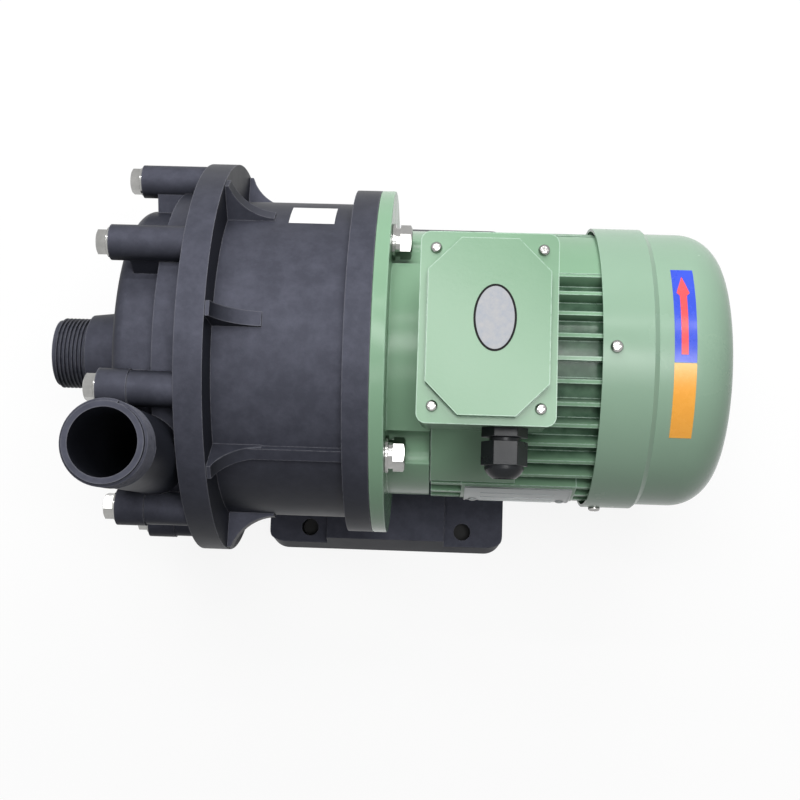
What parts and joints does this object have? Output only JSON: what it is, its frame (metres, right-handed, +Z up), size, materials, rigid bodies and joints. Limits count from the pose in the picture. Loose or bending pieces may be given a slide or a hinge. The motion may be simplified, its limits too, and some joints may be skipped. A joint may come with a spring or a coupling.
{
  "type": "magnetic drive pump",
  "caption": "Close-coupled magnetic drive pump: moulded casing with threaded suction and upright discharge, bracket on a base, and a finned flange motor with terminal box and fan cover.",
  "frame": {"origin": "centre of the base's underside, on the floor", "axes": "+X along the shaft from the suction port to the fan cover, +Z up, so the discharge port is on -Y"},
  "size_m": [0.384, 0.226, 0.273],
  "materials": {
    "black_plastic": "moulded glass-filled plastic, half gloss",
    "green_casting": "cast aluminium with grey-green gloss paint",
    "green_sheet": "pressed sheet steel with grey-green gloss paint",
    "zinc_steel": "bright zinc plate",
    "steel": "ground",
    "brass": "turned",
    "rubber": "matt",
    "ceramic": "ground alumina",
    "carbon": "carbon-filled, matt",
    "magnet": "coated magnet",
    "iron": "laminated or turned iron",
    "copper": "varnished copper wire",
    "nylon": "moulded nylon",
    "alu_plate": "blank etched plate"
  },
  "bodies": {
    "pump_body": {"base": "black_plastic", "bracket": "black_plastic", "front_casing": "black_plastic", "shaft_support": "black_plastic", "front_end_shield": "green_casting", "stator_frame": "green_casting", "rear_end_shield": "green_casting", "terminal_box": "green_casting", "terminal_lid": "green_casting", "fan_cover": "green_sheet", "base_bolts": "zinc_steel", "casing_bolts": "zinc_steel", "casing_washers": "zinc_steel", "flange_bolts": "zinc_steel", "flange_washers": "zinc_steel", "tie_bolts": "zinc_steel", "fan_cover_screws": "zinc_steel", "box_screws": "zinc_steel", "lid_screws": "zinc_steel", "wave_spring": "steel", "front_bearing_outer": "steel", "rear_bearing_outer": "steel", "casing_inserts": "brass", "flange_inserts": "brass", "terminal_studs": "brass", "casing_o_ring": "rubber", "shaft_seal": "rubber", "box_gasket": "rubber", "gland_seal": "rubber", "pump_shaft": "ceramic", "front_thrust_ring": "ceramic", "rear_thrust_ring": "ceramic", "rear_casing": "carbon", "terminal_block": "carbon", "stator_core": "iron", "windings": "copper", "gland_body": "nylon", "gland_nut": "nylon", "nameplate": "alu_plate", "nameplate_rivets": "alu_plate"},
    "rotor": {"motor_shaft": "steel", "rotor_core": "iron", "front_bearing_inner": "steel", "rear_bearing_inner": "steel", "drive_magnet_hub": "iron", "drive_magnets": "magnet", "hub_screw": "zinc_steel", "shaft_key": "steel", "cooling_fan": "black_plastic", "fan_circlip": "steel"},
    "impeller_set": {"impeller": "black_plastic", "mouth_ring": "carbon", "impeller_magnet": "magnet", "impeller_bush": "carbon"},
    "front_ball_set": {"front_bearing_balls": "steel"},
    "rear_ball_set": {"rear_bearing_balls": "steel"}
  },
  "joints": [
    {"name": "rotor_spin", "type": "hinge", "parent": "pump_body", "child": "rotor", "pos_m": [0, 0, 0.118], "axis": [1, 0, 0], "continuous": true},
    {"name": "impeller_spin", "type": "hinge", "parent": "pump_body", "child": "impeller_set", "pos_m": [0, 0, 0.118], "axis": [1, 0, 0], "continuous": true},
    {"name": "front_balls_spin", "type": "hinge", "parent": "pump_body", "child": "front_ball_set", "pos_m": [0, 0, 0.118], "axis": [1, 0, 0], "continuous": true},
    {"name": "rear_balls_spin", "type": "hinge", "parent": "pump_body", "child": "rear_ball_set", "pos_m": [0, 0, 0.118], "axis": [1, 0, 0], "continuous": true}
  ],
  "couplings": [
    {"joint": "impeller_spin", "follows": "rotor_spin", "ratio": 1},
    {"joint": "front_balls_spin", "follows": "rotor_spin", "ratio": 0.3815},
    {"joint": "rear_balls_spin", "follows": "rotor_spin", "ratio": 0.3815}
  ]
}
